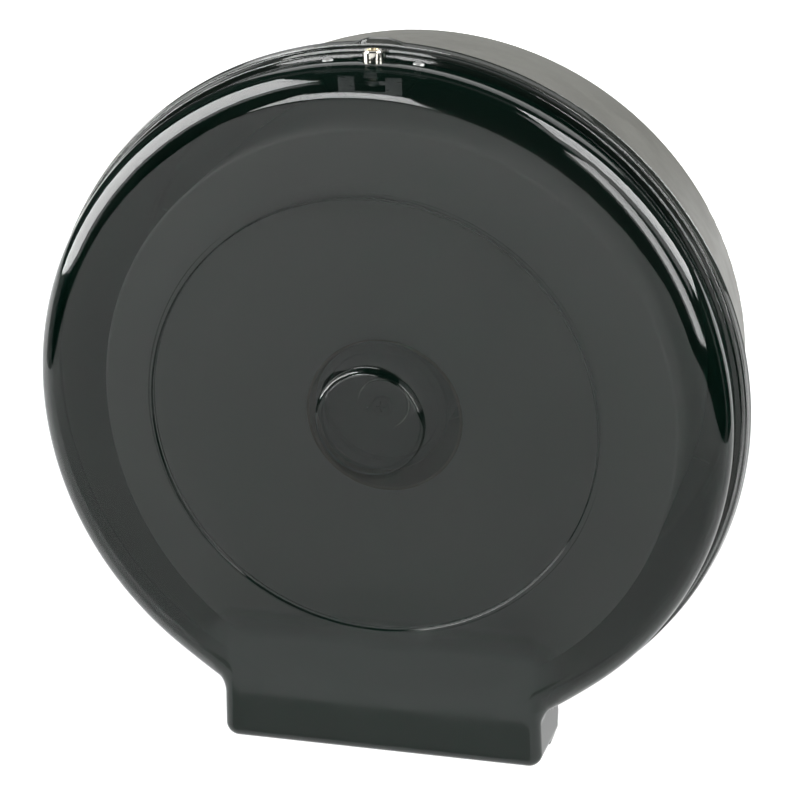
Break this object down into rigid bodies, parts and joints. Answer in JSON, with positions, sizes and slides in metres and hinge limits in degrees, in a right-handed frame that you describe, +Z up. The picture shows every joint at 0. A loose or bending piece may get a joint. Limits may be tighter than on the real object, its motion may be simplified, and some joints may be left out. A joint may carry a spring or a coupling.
{
  "type": "jumbo toilet roll dispenser",
  "caption": "Round wall dispenser for a jumbo toilet roll: smoked hinged cover with a tear-off spout, cam lock, roll on a turning hub, tray with slotted wall fixings.",
  "frame": {"origin": "on the wall plane, in the middle of the four wall-screw slots; the spindle's axis runs through it", "axes": "+Z up, the front faces -Y, +Y goes into the wall, +X to the right seen from the front"},
  "size_m": [0.3582, 0.129, 0.3622],
  "materials": {
    "smoked_cover": "moulded, polished, smoke-tinted and see-through",
    "dark_strip": "moulded, nearly black",
    "housing_grey": "moulded grey, fine texture",
    "dark_moulding": "moulded, black",
    "bush_white": "natural bearing plastic",
    "steel": "zinc-plated",
    "lock_chrome": "plated, satin-bright",
    "lock_brass": "turned, plain",
    "core_board": "spiral-wound board",
    "tissue": "soft two-ply tissue, wound"
  },
  "bodies": {
    "housing": {"back_housing": "housing_grey", "hinge_pins": "steel", "spindle_post": "dark_moulding", "spindle_screws": "steel", "hub_washer": "dark_moulding", "hub_screw": "steel", "lock_keeper": "steel", "keeper_screws": "steel"},
    "cover": {"front_cover": "smoked_cover", "tear_bar": "dark_strip", "lock_barrel": "lock_chrome", "lock_nut": "steel", "lock_bracket": "steel", "lock_rivets": "steel"},
    "lock": {"lock_plug": "lock_brass", "lock_cam": "steel", "cam_screw": "steel"},
    "hub": {"roll_hub": "dark_moulding", "hub_bushes": "bush_white"},
    "roll": {"paper_roll": "tissue", "roll_core": "core_board"}
  },
  "joints": [
    {"name": "cover_hinge", "type": "hinge", "parent": "housing", "child": "cover", "pos_m": [0, -0.0885, -0.171], "axis": [1, 0, 0], "range_deg": [0, 105]},
    {"name": "lock_turn", "type": "hinge", "parent": "cover", "child": "lock", "pos_m": [0, -0.102, 0.17], "axis": [0, 0, 1], "range_deg": [0, 90]},
    {"name": "roll_spin", "type": "hinge", "parent": "housing", "child": "roll", "pos_m": [0, -0.0555, -0.0066], "axis": [0, 1, 0], "continuous": true},
    {"name": "hub_spin", "type": "hinge", "parent": "housing", "child": "hub", "pos_m": [0, -0.0555, 0], "axis": [0, 1, 0], "continuous": true}
  ],
  "couplings": [
    {"joint": "hub_spin", "follows": "roll_spin", "ratio": 1.2212}
  ]
}
